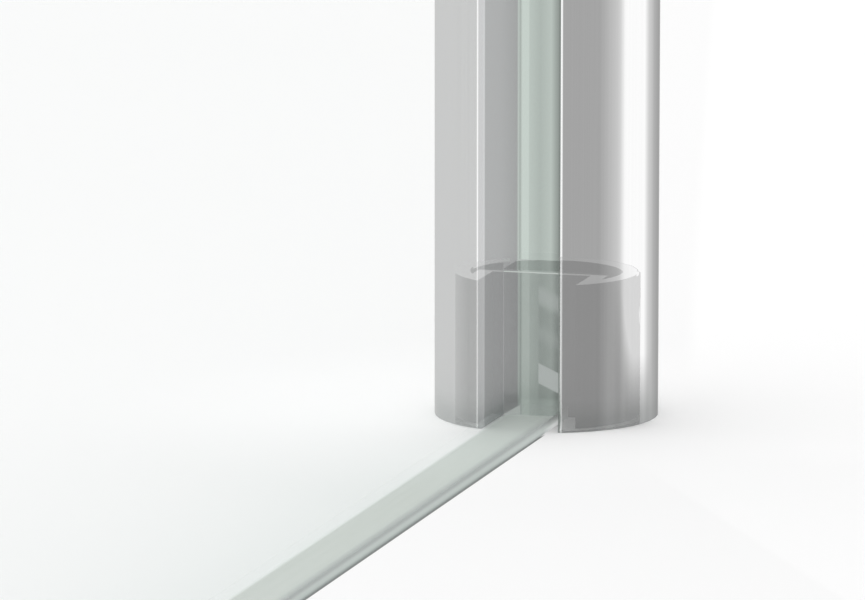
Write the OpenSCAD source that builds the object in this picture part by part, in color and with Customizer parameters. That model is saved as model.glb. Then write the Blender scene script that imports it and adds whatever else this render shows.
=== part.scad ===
// Fixed walk-in shower screen: a glass panel held by a round slotted post over a floor foot,
// a two-piece wall profile and a telescopic brace from the top of the post to a wall.
// The origin is on the post's axis at floor level. +X runs along the glass from the post to
// the wall, +Y is the side of the glass that faces the room, and +Z is up.

/* [Screen] */
// Width from the post's free side to the wall
screen_w = 900; // [700:10:1200]
// Height of the post and the wall profile above the floor
screen_h = 2000; // [1800:10:2100]
// Thickness of the glass
glass_t = 8; // [6:1:10]
// Thickness of the clear bedding strip under the glass
strip_t = 1.5; // [1:0.5:4]
// Gap between the glass top and the underside of the post cap
glass_top_gap = 0.4; // [0.2:0.1:3]

/* [Post] */
// Outside diameter of the post
post_d = 28; // [27:1:40]
// Thickness of the post's round wall
post_wall = 2.3; // [1.8:0.1:3]
// Thickness of the glass channel's walls inside the post
channel_wall = 1.3; // [1:0.1:1.4]
// Depth of the glass channel beyond the post's axis
channel_back = 4.5; // [4:0.1:5.5]
// Radius of the rounded lips at the mouth of the slot
lip_r = 0.5; // [0.3:0.05:0.6]
// Thickness of the gasket on the room side of the glass
gasket_front_t = 1.3; // [0.8:0.1:1.6]
// Thickness of the gasket on the other side of the glass
gasket_back_t = 0.3; // [0.2:0.1:0.8]
// Height above the floor at which the post's gaskets start
gasket_start = 70; // [40:5:200]
// Depth of each gasket along the glass
gasket_depth = 9; // [6:1:10]
// Thickness of the packers between the glass edge and the post
post_packer_t = 0.8; // [0.5:0.1:1.2]
// Length of each packer along the glass edge
packer_h = 60; // [30:5:120]

/* [Floor foot] */
// Height of the foot inside the post
foot_h = 18; // [14:1:30]
// Thickness of the foot's curved and side walls
foot_wall = 2; // [1.5:0.1:2.4]
// Thickness of the foot's base plate
foot_base_t = 4; // [3:0.5:6]
// Place of the front of the foot's cross wall along the glass
cross_front = 2.5; // [2:0.1:3]
// Thickness of the foot's cross wall
cross_wall = 2; // [1.5:0.1:2.4]
// Radius of the hole for the floor screw
anchor_r = 2.6; // [2:0.1:3]
// Distance of the floor screw behind the post's axis
anchor_offset = 4.6; // [4:0.1:5]
// Clearance between the foot or the top insert and the post's bore
foot_clear = 0.14; // [0.1:0.02:0.2]
// Clearance between the glass channel and the parts inside the post
channel_clear = 0.2; // [0.1:0.05:0.3]
// Gap between the glass corner and the foot
corner_gap = 1.5; // [0.5:0.1:3]

/* [Wall profile] */
// Thickness of the walls of the wall channel
wall_channel_t = 1.5; // [1.2:0.1:2]
// Length of the wall channel's legs from the wall
channel_leg = 28; // [26:1:36]
// Half of the wall channel's outside width
channel_half = 9; // [8.5:0.5:12]
// Thickness of the glazing profile's walls
glazing_t = 1.6; // [1.2:0.1:2]
// Depth of the glazing profile's pocket for the glass
pocket_depth = 14; // [12:1:20]
// Clearance between the wall channel and the glazing profile
slide_clear = 0.4; // [0.3:0.1:0.6]
// Distance of the outer profile screws from the floor and from the top
profile_screw_inset = 150; // [80:10:300]
// Travel by which the wall profile makes up for a wall out of plumb
adjust_travel = 15; // [5:1:16]
// Thickness of the packers between the glass edge and the glazing profile
wall_packer_t = 3; // [2:0.5:5]
// Radius of the wall screws' holes
wall_hole_r = 2.6; // [2:0.1:3]
// Distance between the wall screws' holes
wall_hole_pitch = 700; // [500:10:800]
// Thickness of the wall profile's top cap
profile_cap_t = 2; // [1.5:0.5:4]
// Radius of the profile screws' shanks
profile_screw_r = 1.9; // [1.5:0.1:2.2]
// Radius of the profile screws' heads
profile_head_r = 3.6; // [3:0.2:4.4]

/* [Top of the post] */
// Thickness of the post cap
cap_t = 8; // [7:0.5:12]
// Length of the insert inside the top of the post
insert_h = 40; // [30:2:60]
// Radius of the cap screws' shanks
cap_screw_r = 1.5; // [1.2:0.1:1.6]
// Radius of the cap screws' heads
cap_head_r = 2.7; // [2.4:0.1:2.8]
// Length of the cap screws below the cap
cap_screw_grip = 12; // [8:1:20]
// Radius of the swivel pin
pin_r = 4; // [3:0.5:5]
// Thickness of the washer under the brace knuckle
washer_t = 1; // [0.6:0.2:2]

/* [Brace] */
// Distance from the post's axis to the wall that the brace reaches
brace_len = 900; // [700:10:1100]
// Radius of the outer brace tube
outer_r = 9.5; // [9:0.5:11]
// Thickness of both brace tubes' walls
tube_t = 1.5; // [1:0.1:2]
// Distance from the post's axis to the end of the outer tube
outer_end = 452; // [430:2:520]
// Length of the inner tube inside the outer tube
tube_overlap = 150; // [120:5:200]
// Radial clearance of sliding and turning fits
running_clear = 0.06; // [0.03:0.01:0.09]
// Height of the brace knuckle
knuckle_h = 24; // [24:1:30]
// Length of the lock collar
collar_len = 28; // [24:1:40]
// Thickness of the lock collar around the outer tube
collar_wall = 3; // [2.5:0.5:5]
// Radius of the grub screws
grub_r = 2; // [1.5:0.1:2.2]

/* [Wall bracket] */
// Distance of the bracket's pin from the wall
pin_standoff = 44; // [40:1:60]
// Radius of the bracket's stem and half the fork's width
stem_r = 8; // [7:0.5:9]
// Radius to which the fork's corners are turned
fork_r = 10; // [9.5:0.25:10.5]
// Thickness of the eye between the fork's ears
eye_t = 8; // [6:0.5:9]
// Radius of the bracket's pin
clevis_pin_r = 3; // [2.5:0.25:3.5]
// Radius of the bracket's wall plate
plate_r = 24; // [21:1:32]
// Thickness of the bracket's wall plate
plate_t = 5; // [4:0.5:8]
// Radius of the circle that the wall plate's holes lie on
plate_hole_circle = 17; // [14:0.5:18]
// Radius of the wall plate's holes
plate_hole_r = 2.3; // [2:0.1:2.6]
// Thickness of the cover rose's wall
rose_t = 1.2; // [1:0.1:2]
// Depth of the cover rose
rose_depth = 10; // [10:0.5:14]

/* [Hidden] */
$fn = 96;

// How far cuts run past the faces they open
cut = 1;

// Clearances of threads, pressed pins, close bores, loose holes and seats
thread_clear = 0.04;
press_clear = 0.03;
bore_clear = 0.05;
hole_clear = 0.1;
seat_gap = 0.1;
play = 0.2;

// Chamfers of turned pieces, and how deep a grub screw sits below the face
edge = 0.8;
small_edge = 0.6;
grub_recess = 0.3;

// Hexagon recess of a socket screw, as shares of its own length and radius
hex_start = 0.6;
hex_size = 0.55;

// Post section
post_r = post_d / 2;
bore_r = post_r - post_wall;
slot_w = glass_t + gasket_front_t + gasket_back_t;
slot_half = slot_w / 2;
channel_outer = slot_half + channel_wall;
lip_y = slot_half + lip_r;
lip_x = sqrt(pow(post_r - lip_r, 2) - pow(lip_y, 2));
mill_over = 0.5;
mill_h = foot_h + mill_over;
mill_x = cross_front + channel_clear;

// Glass: its faces and ends
end_gap = 0.6;
gasket_inset = 1;
glass_back = gasket_back_t - slot_half;
glass_front = glass_back + glass_t;
glass_x0 = post_packer_t - channel_back;
wall_x = screen_w - post_r;
web_x = wall_x - channel_leg - end_gap;
glazing_x0 = web_x - glazing_t - pocket_depth;
glazing_x1 = wall_x - wall_channel_t - end_gap;
glass_x1 = glazing_x0 + pocket_depth - wall_packer_t;
post_gasket_x = lip_x - gasket_depth - gasket_inset;
wall_gasket_x = glazing_x0 + gasket_depth + gasket_inset;
glass_z0 = strip_t;
glass_z1 = screen_h - glass_top_gap;
corner_x = cross_front + corner_gap;
corner_h = foot_h + corner_gap;
strip_x0 = cross_front + seat_gap;

// Foot and top insert
foot_r = bore_r - foot_clear;
foot_bore_r = foot_r - foot_wall;
foot_slot = channel_outer + channel_clear;
foot_side = foot_slot + foot_wall;
cross_back = cross_front - cross_wall;
foot_grub_z = (foot_h + foot_base_t) / 2;
foot_grub_turn = 40;
insert_front = -channel_back - channel_wall - channel_clear;
insert_z1 = screen_h - play;
insert_grub_z = screen_h - insert_h / 2;
cap_screw_y = (foot_slot + foot_r) / 2;
cap_screw_over = 2;

// Wall profile
glazing_half = channel_half + slide_clear + glazing_t;
pocket_half = slot_half;
screw_clear = 0.3;
slot_r = profile_screw_r + screw_clear;
slot_land = 2.5;
leg_slot_x0 = wall_x - channel_leg + slot_land;
profile_screw_x = leg_slot_x0 + adjust_travel + slot_r;
profile_screw_zs = [profile_screw_inset, screen_h / 2, screen_h - profile_screw_inset];
profile_head_h = 2;
profile_hex_r = profile_head_r / 2;
screw_over = 1;
wall_hole_zs = [for (step = [-1, 0, 1]) screen_h / 2 + step * wall_hole_pitch];

// Top of the post and brace
cap_floor = 1;
cap_head_h = 2.8;
cap_z1 = screen_h + cap_t;
cap_head_z = cap_z1 - cap_head_h - play;
washer_z1 = cap_z1 + washer_t;
knuckle_z0 = washer_z1 + seat_gap;
knuckle_roof = 4;
brace_z = knuckle_z0 + knuckle_h / 2;
knuckle_bore_z = knuckle_z0 + knuckle_h - knuckle_roof;
neck_r = knuckle_h / 2;
neck_reach = 10;
neck_len = post_r + neck_reach;
neck_grub_y = neck_len - 6;
socket_wall = 3;
socket_y = pin_r + socket_wall;
pin_end_gap = 1;
pin_edge = 0.5;
groove_half = grub_r + 0.3;
groove_depth = 1;
pin_core_r = pin_r - groove_depth;
inner_r = outer_r - tube_t - running_clear;
collar_r = outer_r + collar_wall;
collar_lip = 12;
collar_y1 = outer_end + collar_lip;
collar_grub_y = outer_end + collar_lip / 2;
spigot_r = inner_r - tube_t - press_clear;
plug_head = 5;
plug_reach = 12;
spigot_len = 18;

// Wall bracket
pin_y = brace_len - pin_standoff;
tongue_gap = 1.2;
fork_clear = 0.3;
eye_r = stem_r - fork_clear;
eye_half_w = 0.8 * inner_r;
eye_reach = 4;
eye_neck = stem_r + eye_reach;
eye_shoulder = 4;
inner_end = pin_y - eye_neck - eye_shoulder;
fork_slot = eye_t / 2 + fork_clear;
fork_root = 8;
fork_back = pin_y + stem_r + fork_root;
pin_head_r = clevis_pin_r + 1.5;
pin_head_h = 1.4;
rose_over = 2;
rose_edge = 2;

// Runs a rod of the given radius from one distance to another along the brace
module brace_rod(from_y, to_y, radius) {
    translate([0, -from_y, brace_z])
        rotate([90, 0, 0])
            cylinder(h = to_y - from_y, r = radius);
}

// Turns a half outline of [radius, distance] points about the brace's axis
module brace_turned(outline) {
    translate([0, 0, brace_z])
        rotate([90, 0, 0])
            rotate_extrude()
                polygon(outline);
}

// The round post's section with its glass channel and rounded lips
module post_section() {
    difference() {
        union() {
            difference() {
                circle(r = post_r);
                circle(r = bore_r);
            }
            intersection() {
                circle(r = bore_r + post_wall / 2);
                translate([-channel_back - channel_wall, -channel_outer])
                    square([channel_back + channel_wall + lip_x, 2 * channel_outer]);
            }
        }
        translate([-channel_back, -slot_half])
            square([channel_back + lip_x, slot_w]);
        polygon([
            [lip_x, -lip_y], 2 * [lip_x, -lip_y], 2 * [lip_x, lip_y], [lip_x, lip_y]
        ]);
    }
    for (side = [-1, 1])
        translate([lip_x, side * lip_y])
            circle(r = lip_r);
}

// The space in the post's bore that the foot takes, behind the milled channel
module mill_section() {
    intersection() {
        circle(r = bore_r);
        translate([-post_r, -post_r])
            square([post_r + mill_x, 2 * post_r]);
    }
}

// A hole through the back of the post's round wall, turned about the post's axis
module post_grub_hole(high, turn) {
    translate([0, 0, high])
        rotate([0, -90, turn])
            translate([0, 0, bore_r - cut])
                cylinder(h = post_wall + 2 * cut, r = grub_r + hole_clear);
}

module post_profile() {
    color("silver")
    difference() {
        linear_extrude(screen_h)
            post_section();
        translate([0, 0, -cut])
            linear_extrude(mill_h + cut)
                mill_section();
        for (turn = [-foot_grub_turn, foot_grub_turn])
            post_grub_hole(foot_grub_z, turn);
        post_grub_hole(insert_grub_z, 0);
    }
}

// The cast foot: a round plug with a slot for the channel's walls and a crescent pocket
module floor_foot() {
    color("gainsboro")
    difference() {
        cylinder(h = foot_h, r = foot_r);
        translate([cross_front, -foot_slot, -cut])
            cube([post_d, 2 * foot_slot, foot_h + 2 * cut]);
        translate([0, 0, foot_base_t])
            difference() {
                cylinder(h = foot_h, r = foot_bore_r);
                translate([cross_back, -foot_side, -cut])
                    cube([post_d, 2 * foot_side, foot_h + 2 * cut]);
            }
        translate([-anchor_offset, 0, -cut])
            cylinder(h = foot_base_t + 2 * cut, r = anchor_r);
        for (turn = [-foot_grub_turn, foot_grub_turn])
            translate([0, 0, foot_grub_z])
                rotate([0, -90, turn])
                    translate([0, 0, foot_bore_r - cut])
                        cylinder(h = foot_wall + 2 * cut, r = grub_r + thread_clear);
    }
}

// A socket set screw along +Z with its hexagon recess at the far end
module grub_screw(length, radius) {
    difference() {
        cylinder(h = length, r = radius);
        translate([0, 0, length * hex_start])
            cylinder(h = length, r = radius * hex_size, $fn = 6);
    }
}

module foot_grub_screws() {
    tip = foot_bore_r + seat_gap;
    color("dimgray")
    for (turn = [-foot_grub_turn, foot_grub_turn])
        translate([0, 0, foot_grub_z])
            rotate([0, -90, turn])
                translate([0, 0, tip])
                    grub_screw(post_r - grub_recess - tip, grub_r);
}

module glass_panel() {
    color("lightcyan", 0.4)
    difference() {
        translate([glass_x0, glass_back, glass_z0])
            cube([glass_x1 - glass_x0, glass_t, glass_z1 - glass_z0]);
        translate([glass_x0 - cut, glass_back - cut, -cut])
            cube([corner_x - glass_x0 + cut, glass_t + 2 * cut, corner_h + cut]);
    }
}

module bottom_strip() {
    color("whitesmoke", 0.6)
    translate([strip_x0, glass_back, 0])
        cube([glass_x1 - strip_x0, glass_t, strip_t]);
}

// A gasket along a glass edge, with a small rounded bead at its open end
module gasket(x_inner, direction, y_low, thickness, z_low, z_high) {
    far = x_inner + direction * gasket_depth;
    translate([min(x_inner, far), y_low, z_low])
        cube([gasket_depth, thickness, z_high - z_low]);
    translate([far, y_low + thickness / 2, z_low])
        cylinder(h = z_high - z_low, r = thickness / 2);
}

module post_gasket_front() {
    color("white", 0.6)
    gasket(post_gasket_x, 1, glass_front, gasket_front_t, gasket_start, glass_z1);
}

module post_gasket_back() {
    color("white", 0.6)
    gasket(post_gasket_x, 1, -slot_half, gasket_back_t, gasket_start, glass_z1);
}

// Three packers of the given thickness along a glass edge
module edge_packers(low_x, thickness) {
    for (low = [gasket_start, (screen_h - packer_h) / 2, screen_h - gasket_start - packer_h])
        translate([low_x, glass_back, low])
            cube([thickness, glass_t, packer_h]);
}

module post_edge_packers() {
    color("white", 0.6)
    edge_packers(-channel_back, post_packer_t);
}

// The glazing profile's section: a pocket for the glass and a skirt over the wall channel
module glazing_section() {
    depth = glazing_x1 - glazing_x0;
    corner = glazing_t;
    difference() {
        union() {
            translate([corner, -glazing_half])
                square([depth - corner, 2 * glazing_half]);
            translate([0, -glazing_half + corner])
                square([corner, 2 * (glazing_half - corner)]);
            for (side = [-1, 1])
                translate([corner, side * (glazing_half - corner)])
                    circle(r = corner);
        }
        translate([-cut, -pocket_half])
            square([pocket_depth + cut, 2 * pocket_half]);
        translate([pocket_depth + glazing_t, -glazing_half + glazing_t])
            square([depth, 2 * (glazing_half - glazing_t)]);
        for (side = [-1, 1])
            translate([
                glazing_t,
                side > 0 ? pocket_half + glazing_t : glazing_t - glazing_half
            ])
                square([pocket_depth - glazing_t, glazing_half - pocket_half - 2 * glazing_t]);
    }
}

module glazing_profile() {
    color("silver")
    difference() {
        translate([glazing_x0, 0, 0])
            linear_extrude(screen_h)
                glazing_section();
        for (high = profile_screw_zs)
            translate([profile_screw_x, -glazing_half - cut, high])
                rotate([-90, 0, 0])
                    cylinder(h = glazing_t + 2 * cut, r = profile_screw_r + bore_clear);
    }
}

module wall_gasket_front() {
    color("white", 0.6)
    gasket(wall_gasket_x, -1, glass_front, gasket_front_t, 0, glass_z1);
}

module wall_gasket_back() {
    color("white", 0.6)
    gasket(wall_gasket_x, -1, -slot_half, gasket_back_t, 0, glass_z1);
}

module wall_edge_packers() {
    color("white", 0.6)
    edge_packers(glass_x1, wall_packer_t);
}

// A moulded cap with two pegs that plug into the profile's side chambers
module profile_cap() {
    chamber = glazing_half - pocket_half - 2 * glazing_t;
    chamber_y = pocket_half + glazing_t + chamber / 2;
    peg_len = 6;
    corner = glazing_t;
    color("silver")
    translate([0, 0, screen_h]) {
        linear_extrude(profile_cap_t) {
            translate([glazing_x0 + corner, -glazing_half])
                square([glazing_x1 - glazing_x0 - corner, 2 * glazing_half]);
            translate([glazing_x0, corner - glazing_half])
                square([corner + cut, 2 * (glazing_half - corner)]);
            for (side = [-1, 1])
                translate([glazing_x0 + corner, side * (glazing_half - corner)])
                    circle(r = corner);
        }
        for (side = [-1, 1])
            translate([glazing_x0 + glazing_t + play, side * chamber_y - chamber / 2 + play, -peg_len])
                cube([pocket_depth - glazing_t - 2 * play, chamber - 2 * play, peg_len + cut]);
    }
}

module profile_screws() {
    color("gray")
    for (high = profile_screw_zs)
        translate([profile_screw_x, -glazing_half, high])
            rotate([-90, 0, 0]) {
                cylinder(h = glazing_t + slide_clear + wall_channel_t + screw_over, r = profile_screw_r);
                difference() {
                    translate([0, 0, -profile_head_h])
                        cylinder(h = profile_head_h, r = profile_head_r);
                    translate([0, 0, -profile_head_h - cut])
                        cylinder(h = profile_head_h * hex_start + cut, r = profile_hex_r, $fn = 6);
                }
            }
}

// The channel screwed to the wall, with slots in one leg for the profile screws
module wall_channel() {
    leg_h = screen_h - end_gap;
    color("silver")
    difference() {
        translate([wall_x - channel_leg, -channel_half, 0])
            cube([channel_leg, 2 * channel_half, leg_h]);
        translate([wall_x - channel_leg - cut, wall_channel_t - channel_half, -cut])
            cube([
                channel_leg + cut - wall_channel_t,
                2 * (channel_half - wall_channel_t),
                leg_h + 2 * cut
            ]);
        for (high = wall_hole_zs)
            translate([wall_x - wall_channel_t - cut, 0, high])
                rotate([0, 90, 0])
                    cylinder(h = wall_channel_t + 2 * cut, r = wall_hole_r);
        for (high = profile_screw_zs)
            translate([leg_slot_x0 + slot_r, -channel_half - cut, high])
                rotate([-90, 0, 0])
                    linear_extrude(wall_channel_t + 2 * cut) {
                        circle(r = slot_r);
                        translate([adjust_travel, 0])
                            circle(r = slot_r);
                        translate([0, -slot_r])
                            square([adjust_travel, 2 * slot_r]);
                    }
    }
}

// The insert in the post's top, which wraps around the back of the glass channel
module top_insert() {
    color("gainsboro")
    difference() {
        translate([0, 0, insert_z1 - insert_h])
            cylinder(h = insert_h, r = foot_r);
        translate([insert_front, -foot_slot, insert_z1 - insert_h - cut])
            cube([post_d, 2 * foot_slot, insert_h + 2 * cut]);
        for (side = [-1, 1])
            translate([0, side * cap_screw_y, insert_z1 - cap_screw_grip - cap_screw_over])
                cylinder(h = cap_screw_grip + cap_screw_over + cut, r = cap_screw_r + thread_clear);
        translate([-post_r, 0, insert_grub_z])
            rotate([0, 90, 0])
                cylinder(h = post_r + insert_front + cut, r = grub_r + thread_clear);
    }
}

module insert_grub_screw() {
    tip = seat_gap - insert_front;
    color("dimgray")
    translate([0, 0, insert_grub_z])
        rotate([0, -90, 0])
            translate([0, 0, tip])
                grub_screw(post_r - grub_recess - tip, grub_r);
}

// The cap with a blind socket for the swivel pin and two sunk screws
module post_cap() {
    color("silver")
    difference() {
        translate([0, 0, screen_h])
            rotate_extrude()
                polygon([
                    [0, 0], [post_r, 0], [post_r, cap_t - small_edge],
                    [post_r - small_edge, cap_t], [0, cap_t]
                ]);
        translate([0, 0, screen_h + cap_floor])
            cylinder(h = cap_t, r = pin_r + press_clear);
        for (side = [-1, 1]) {
            translate([0, side * cap_screw_y, screen_h - cut])
                cylinder(h = cap_t + 2 * cut, r = cap_screw_r + hole_clear);
            translate([0, side * cap_screw_y, cap_head_z])
                cylinder(h = cap_t, r = cap_head_r + hole_clear);
        }
    }
}

module cap_screws() {
    color("gray")
    for (side = [-1, 1])
        translate([0, side * cap_screw_y, screen_h - cap_screw_grip]) {
            cylinder(h = cap_head_z - screen_h + cap_screw_grip, r = cap_screw_r);
            translate([0, 0, cap_head_z - screen_h + cap_screw_grip])
                difference() {
                    cylinder(h = cap_head_h, r = cap_head_r);
                    translate([0, 0, cap_head_h / 2])
                        cylinder(h = cap_head_h, r = cap_head_r / 2, $fn = 6);
                }
        }
}

// The turned pin that the knuckle swivels on, with a groove for the retaining screw
module swivel_pin() {
    low = screen_h + cap_floor;
    high = knuckle_bore_z - pin_end_gap;
    color("lightgray")
    rotate_extrude()
        polygon([
            [0, low], [pin_r, low],
            [pin_r, brace_z - groove_half], [pin_core_r, brace_z - groove_half],
            [pin_core_r, brace_z + groove_half], [pin_r, brace_z + groove_half],
            [pin_r, high - pin_edge], [pin_r - pin_edge, high], [0, high]
        ]);
}

module swivel_washer() {
    color("dimgray")
    translate([0, 0, cap_z1])
        difference() {
            cylinder(h = washer_t, r = post_r - small_edge);
            translate([0, 0, -cut])
                cylinder(h = washer_t + 2 * cut, r = pin_r + hole_clear);
        }
}

// The swivel head: an upright barrel with a neck that takes the outer tube
module brace_knuckle() {
    color("silver")
    difference() {
        union() {
            translate([0, 0, knuckle_z0])
                rotate_extrude()
                    polygon([
                        [0, 0], [post_r - edge, 0], [post_r, edge],
                        [post_r, knuckle_h - edge], [post_r - edge, knuckle_h], [0, knuckle_h]
                    ]);
            brace_turned([
                [0, 0], [neck_r, 0], [neck_r, neck_len - edge],
                [neck_r - edge, neck_len], [0, neck_len]
            ]);
        }
        translate([0, 0, knuckle_z0 - cut])
            cylinder(h = knuckle_bore_z - knuckle_z0 + cut, r = pin_r + running_clear);
        brace_rod(socket_y, neck_len + cut, outer_r + bore_clear);
        translate([-post_r - cut, 0, brace_z])
            rotate([0, 90, 0])
                cylinder(h = post_r + cut, r = grub_r + thread_clear);
        translate([0, -neck_grub_y, brace_z - neck_r - cut])
            cylinder(h = neck_r, r = grub_r + thread_clear);
    }
}

module knuckle_grub_screws() {
    pin_tip = pin_core_r + play;
    tube_tip = outer_r - tube_t / 2;
    color("dimgray") {
        translate([0, 0, brace_z])
            rotate([0, -90, 0])
                translate([0, 0, pin_tip])
                    grub_screw(post_r - grub_recess - pin_tip, grub_r);
        translate([0, -neck_grub_y, brace_z - tube_tip])
            rotate([180, 0, 0])
                grub_screw(neck_r - grub_recess - tube_tip, grub_r);
    }
}

module brace_tube_outer() {
    color("silver")
    difference() {
        brace_rod(socket_y + play, outer_end - play, outer_r);
        brace_rod(0, outer_end + cut, outer_r - tube_t);
        translate([0, -neck_grub_y, brace_z - outer_r - cut])
            cylinder(h = outer_r, r = grub_r + hole_clear);
    }
}

// The collar on the outer tube's end, which grips the inner tube
module lock_collar() {
    start = collar_y1 - collar_len;
    color("silver")
    difference() {
        brace_turned([
            [0, start], [collar_r - edge, start], [collar_r, start + edge],
            [collar_r, collar_y1 - edge], [collar_r - edge, collar_y1], [0, collar_y1]
        ]);
        brace_rod(start - cut, outer_end, outer_r + bore_clear);
        brace_rod(start, collar_y1 + cut, inner_r + running_clear);
        translate([0, -collar_grub_y, brace_z - collar_r - cut])
            cylinder(h = collar_r, r = grub_r + thread_clear);
    }
}

module collar_grub_screw() {
    tip = inner_r + seat_gap;
    color("dimgray")
    translate([0, -collar_grub_y, brace_z - tip])
        rotate([180, 0, 0])
            grub_screw(collar_r - tip - grub_recess, grub_r);
}

module brace_tube_inner() {
    color("silver")
    difference() {
        brace_rod(outer_end - tube_overlap, inner_end, inner_r);
        brace_rod(outer_end - tube_overlap - cut, inner_end + cut, inner_r - tube_t);
    }
}

// The plastic plug that guides the inner tube's end
module glide_plug() {
    tube_start = outer_end - tube_overlap;
    color("dimgray")
    brace_turned([
        [0, tube_start - plug_head], [inner_r - edge, tube_start - plug_head],
        [inner_r, tube_start - plug_head + edge], [inner_r, tube_start], [spigot_r, tube_start],
        [spigot_r, tube_start + plug_reach], [0, tube_start + plug_reach]
    ]);
}

// The end fitting: a spigot in the tube, a shoulder and a rounded tongue with the pin's bore
module brace_eye() {
    color("silver")
    difference() {
        union() {
            brace_turned([
                [0, inner_end - spigot_len], [spigot_r, inner_end - spigot_len],
                [spigot_r, inner_end], [inner_r, inner_end], [inner_r, inner_end + eye_shoulder],
                [0, inner_end + eye_shoulder]
            ]);
            translate([0, -pin_y, brace_z - eye_t / 2]) {
                cylinder(h = eye_t, r = eye_r);
                translate([-eye_half_w, 0, 0])
                    cube([2 * eye_half_w, eye_neck + eye_shoulder / 2, eye_t]);
            }
        }
        translate([0, -pin_y, brace_z - eye_t])
            cylinder(h = 2 * eye_t, r = clevis_pin_r + running_clear);
    }
}

// The wall bracket: a drilled plate, a round stem and a fork
module wall_clevis() {
    color("silver")
    difference() {
        union() {
            brace_turned([
                [0, fork_back - cut], [stem_r, fork_back - cut], [stem_r, brace_len - plate_t],
                [plate_r - small_edge, brace_len - plate_t],
                [plate_r, brace_len - plate_t + small_edge],
                [plate_r, brace_len], [0, brace_len]
            ]);
            intersection() {
                union() {
                    translate([-stem_r, -fork_back, brace_z - stem_r])
                        cube([2 * stem_r, fork_back - pin_y, 2 * stem_r]);
                    translate([0, -pin_y, brace_z - stem_r])
                        cylinder(h = 2 * stem_r, r = stem_r);
                }
                brace_turned([
                    [0, pin_y - fork_r], [fork_r, pin_y - fork_r],
                    [fork_r, fork_back - fork_r + stem_r], [stem_r, fork_back], [0, fork_back]
                ]);
            }
        }
        translate([-stem_r - cut, -pin_y - stem_r - tongue_gap, brace_z - fork_slot])
            cube([2 * (stem_r + cut), 2 * stem_r + tongue_gap + cut, 2 * fork_slot]);
        translate([0, -pin_y, brace_z - stem_r - cut])
            cylinder(h = 2 * (stem_r + cut), r = clevis_pin_r + press_clear);
        for (turn = [0, 120, 240])
            translate([0, 0, brace_z])
                rotate([90, turn, 0])
                    translate([0, plate_hole_circle, brace_len - plate_t - cut])
                        cylinder(h = plate_t + 2 * cut, r = plate_hole_r);
    }
}

module clevis_pin() {
    color("lightgray")
    translate([0, -pin_y, brace_z])
        rotate_extrude()
            polygon([
                [0, -stem_r], [clevis_pin_r, -stem_r], [clevis_pin_r, stem_r],
                [pin_head_r, stem_r], [pin_head_r, stem_r + pin_head_h - small_edge],
                [pin_head_r - small_edge, stem_r + pin_head_h], [0, stem_r + pin_head_h]
            ]);
}

// The pressed rose that slides along the stem over the wall plate and its screws
module cover_rose() {
    front = brace_len - rose_depth;
    rim = plate_r + rose_t + rose_over;
    color("silver")
    difference() {
        brace_turned([
            [0, front], [rim - rose_edge, front], [rim, front + rose_edge], [rim, brace_len],
            [0, brace_len]
        ]);
        brace_turned([
            [0, front + rose_t], [rim - rose_edge, front + rose_t],
            [rim - rose_t, front + rose_edge + rose_t / 3], [rim - rose_t, brace_len + cut],
            [0, brace_len + cut]
        ]);
        brace_rod(front - cut, front + rose_t + cut, stem_r + running_clear);
    }
}

glass_panel();
post_profile();
floor_foot();
foot_grub_screws();
bottom_strip();
post_gasket_front();
post_gasket_back();
post_edge_packers();
glazing_profile();
wall_gasket_front();
wall_gasket_back();
wall_edge_packers();
profile_cap();
profile_screws();
wall_channel();
top_insert();
insert_grub_screw();
post_cap();
cap_screws();
swivel_pin();
swivel_washer();
brace_knuckle();
knuckle_grub_screws();
brace_tube_outer();
lock_collar();
collar_grub_screw();
brace_tube_inner();
glide_plug();
brace_eye();
wall_clevis();
clevis_pin();
cover_rose();
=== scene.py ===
import math
from types import SimpleNamespace

import bpy
import numpy as np
from mathutils import Matrix, Vector


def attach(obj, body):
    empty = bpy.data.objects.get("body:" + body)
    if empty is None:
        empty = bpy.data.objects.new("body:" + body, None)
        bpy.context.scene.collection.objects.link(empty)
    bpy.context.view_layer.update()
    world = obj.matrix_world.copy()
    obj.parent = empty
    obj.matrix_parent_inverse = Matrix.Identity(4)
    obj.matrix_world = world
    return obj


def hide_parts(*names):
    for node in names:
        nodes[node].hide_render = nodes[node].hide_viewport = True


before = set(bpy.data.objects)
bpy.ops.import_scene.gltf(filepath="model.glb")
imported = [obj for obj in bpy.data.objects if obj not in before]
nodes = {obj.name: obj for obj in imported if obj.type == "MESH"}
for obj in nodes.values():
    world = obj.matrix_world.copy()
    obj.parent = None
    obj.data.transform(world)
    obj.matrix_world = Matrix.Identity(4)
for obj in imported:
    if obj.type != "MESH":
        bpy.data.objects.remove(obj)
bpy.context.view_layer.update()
print("frame loaded:", len(nodes), "nodes")

# Lengths are in millimetres, but the camera's place and the floor's size and level in metres
mm = 0.001
sharpAngle = math.radians(35)
black, white = (0, 0, 0, 1), (1, 1, 1, 1)


def named(settings):  # a dictionary of settings, to be read as s.name
    return SimpleNamespace(**settings)


# Each method adds a node or a few to a tree and gives back the output

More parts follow.
